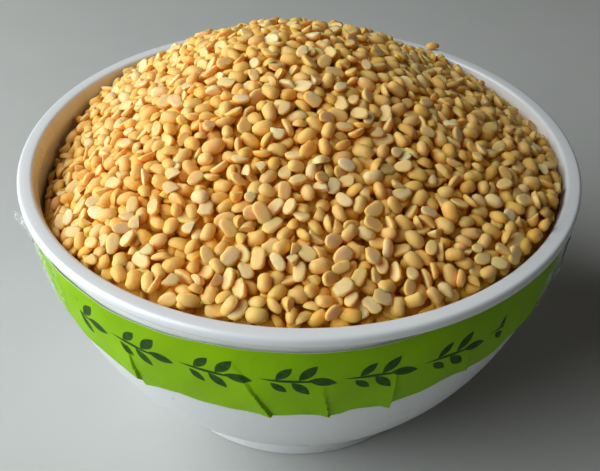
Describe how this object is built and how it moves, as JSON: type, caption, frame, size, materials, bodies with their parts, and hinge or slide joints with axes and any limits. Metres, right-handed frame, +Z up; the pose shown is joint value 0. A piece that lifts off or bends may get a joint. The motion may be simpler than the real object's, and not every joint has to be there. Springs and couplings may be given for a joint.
{
  "type": "dish of dry lentils",
  "caption": "White footed bowl heaped with dry split yellow lentils above its lip, a green paper strip held round the front of its wall by clear tape.",
  "frame": {"origin": "on the bowl's axis at the level of the foot ring's underside, which stands on the table", "axes": "+Z up along the bowl's axis; -Y towards the front, where the middle of the paper strip is; +X to the right seen from the front"},
  "size_m": [0.136, 0.136, 0.0973],
  "materials": {
    "white_plastic": "glossy white moulded tableware plastic",
    "split_lentil": "dry skinned pulses, satin yellow with paler flat faces",
    "green_paper": "coated yellow-green paper with dark green leaf sprigs",
    "clear_tape": "clear adhesive tape"
  },
  "bodies": {
    "root": {"bowl": "white_plastic", "lentil_heap": "split_lentil", "stray_lentil": "split_lentil", "paper_band": "green_paper", "tape_left": "clear_tape", "tape_right": "clear_tape"}
  },
  "joints": []
}
